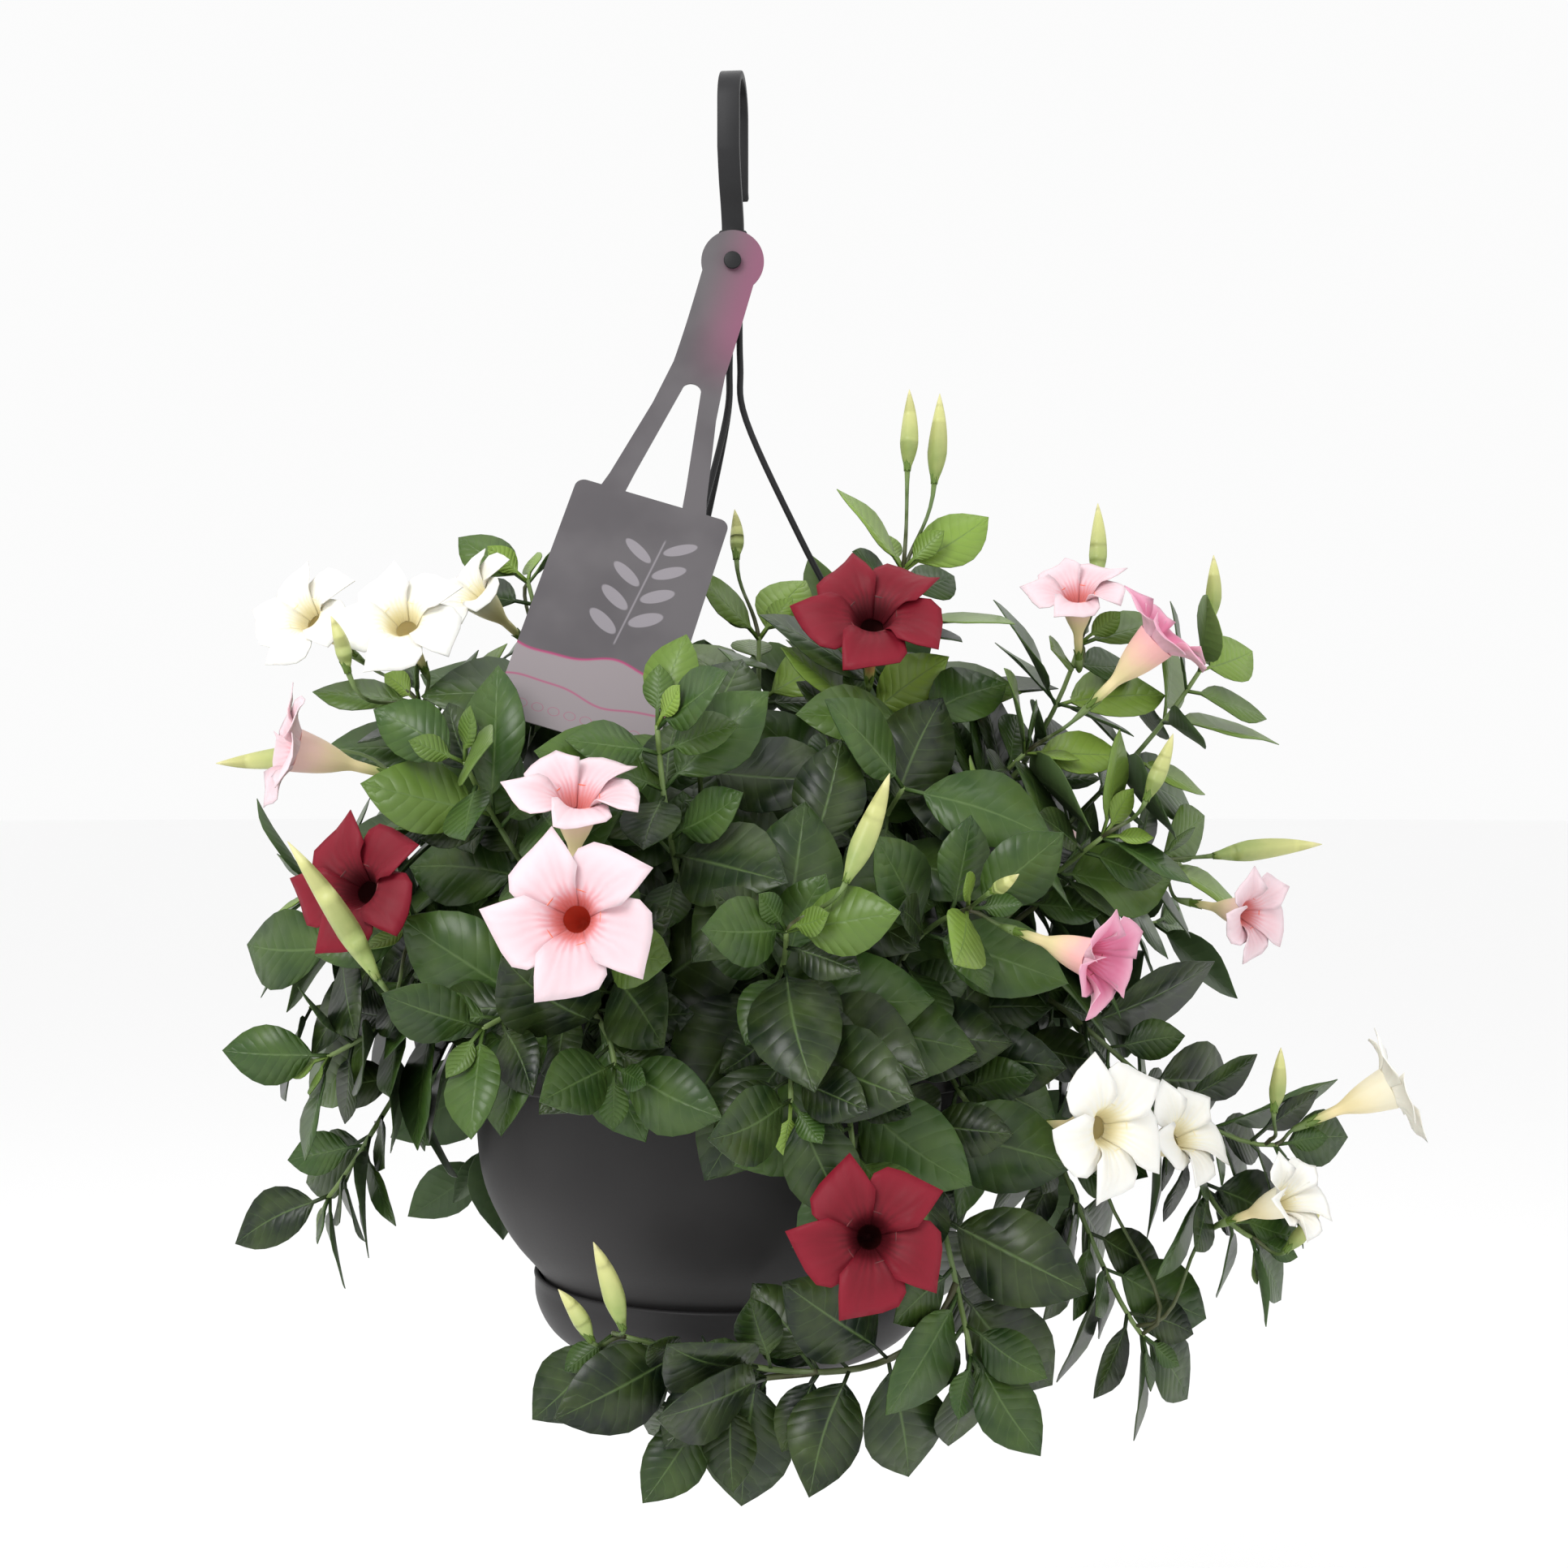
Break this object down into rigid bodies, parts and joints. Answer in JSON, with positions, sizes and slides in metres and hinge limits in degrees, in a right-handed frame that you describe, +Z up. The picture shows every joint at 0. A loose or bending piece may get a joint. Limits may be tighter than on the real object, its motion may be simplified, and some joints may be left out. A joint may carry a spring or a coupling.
{
  "type": "mandevilla hanging basket",
  "caption": "Mandevilla with white, pink and red trumpet blooms in a dark pot with a saucer, hung by a flat hook on slim arms, with a printed hang tag.",
  "frame": {"origin": "inside top of the hook, where the basket hangs", "axes": "+Z up, +X to the viewer's right, -Y towards the viewer, on the side where the hang tag is"},
  "size_m": [0.6134, 0.5032, 0.709],
  "materials": {
    "pot_plastic": "dark grey moulded plastic, satin",
    "saucer_plastic": "dark grey moulded plastic, satin",
    "hanger_plastic": "near-black moulded plastic, satin",
    "printed_card": "printed plastic card, grey-purple, glossy",
    "peat_soil": "moist peat potting mix, rough",
    "leaf_green": "glossy green leaves and stems",
    "petal_white": "soft white petals",
    "petal_blush": "soft pale pink petals",
    "petal_pink": "soft pink petals",
    "petal_red": "velvety dark red petals"
  },
  "bodies": {
    "root": {"bloom_blush_back": "petal_blush", "bloom_blush_front": "petal_blush", "bloom_blush_front_back": "petal_blush", "bloom_blush_left": "petal_blush", "bloom_blush_right": "petal_blush", "bloom_blush_right_back": "petal_blush", "bloom_pink_middle": "petal_pink", "bloom_pink_right_top": "petal_pink", "bloom_red_back": "petal_red", "bloom_red_left": "petal_red", "bloom_red_low": "petal_red", "bloom_red_top": "petal_red", "bloom_white_back": "petal_white", "bloom_white_far": "petal_white", "bloom_white_left_back": "petal_white", "bloom_white_left_inner": "petal_white", "bloom_white_left_outer": "petal_white", "bloom_white_low_far": "petal_white", "bloom_white_low_front": "petal_white", "bloom_white_low_middle": "petal_white", "hang_tag": "printed_card", "hanger": "hanger_plastic", "hook": "hanger_plastic", "pot": "pot_plastic", "potting_soil": "peat_soil", "saucer": "saucer_plastic", "stem_back_left": "leaf_green", "stem_back_left_top": "leaf_green", "stem_back_left_trail": "leaf_green", "stem_back_middle": "leaf_green", "stem_back_right": "leaf_green", "stem_back_right_trail": "leaf_green", "stem_back_top": "leaf_green", "stem_back_trail": "leaf_green", "stem_bud_spire": "leaf_green", "stem_centre_front": "leaf_green", "stem_centre_top": "leaf_green", "stem_front_left": "leaf_green", "stem_front_middle": "leaf_green", "stem_front_right_trail": "leaf_green", "stem_left_low": "leaf_green", "stem_left_rosette": "leaf_green", "stem_left_side": "leaf_green", "stem_left_trail": "leaf_green", "stem_pink_front": "leaf_green", "stem_pink_left": "leaf_green", "stem_pink_middle": "leaf_green", "stem_pink_right": "leaf_green", "stem_red_left": "leaf_green", "stem_red_low": "leaf_green", "stem_right_high": "leaf_green", "stem_right_rosette": "leaf_green", "stem_right_side": "leaf_green", "stem_right_top": "leaf_green", "stem_right_trail": "leaf_green", "stem_tag_front": "leaf_green", "stem_white_far": "leaf_green", "stem_white_left": "leaf_green", "stem_white_low": "leaf_green"}
  },
  "joints": []
}
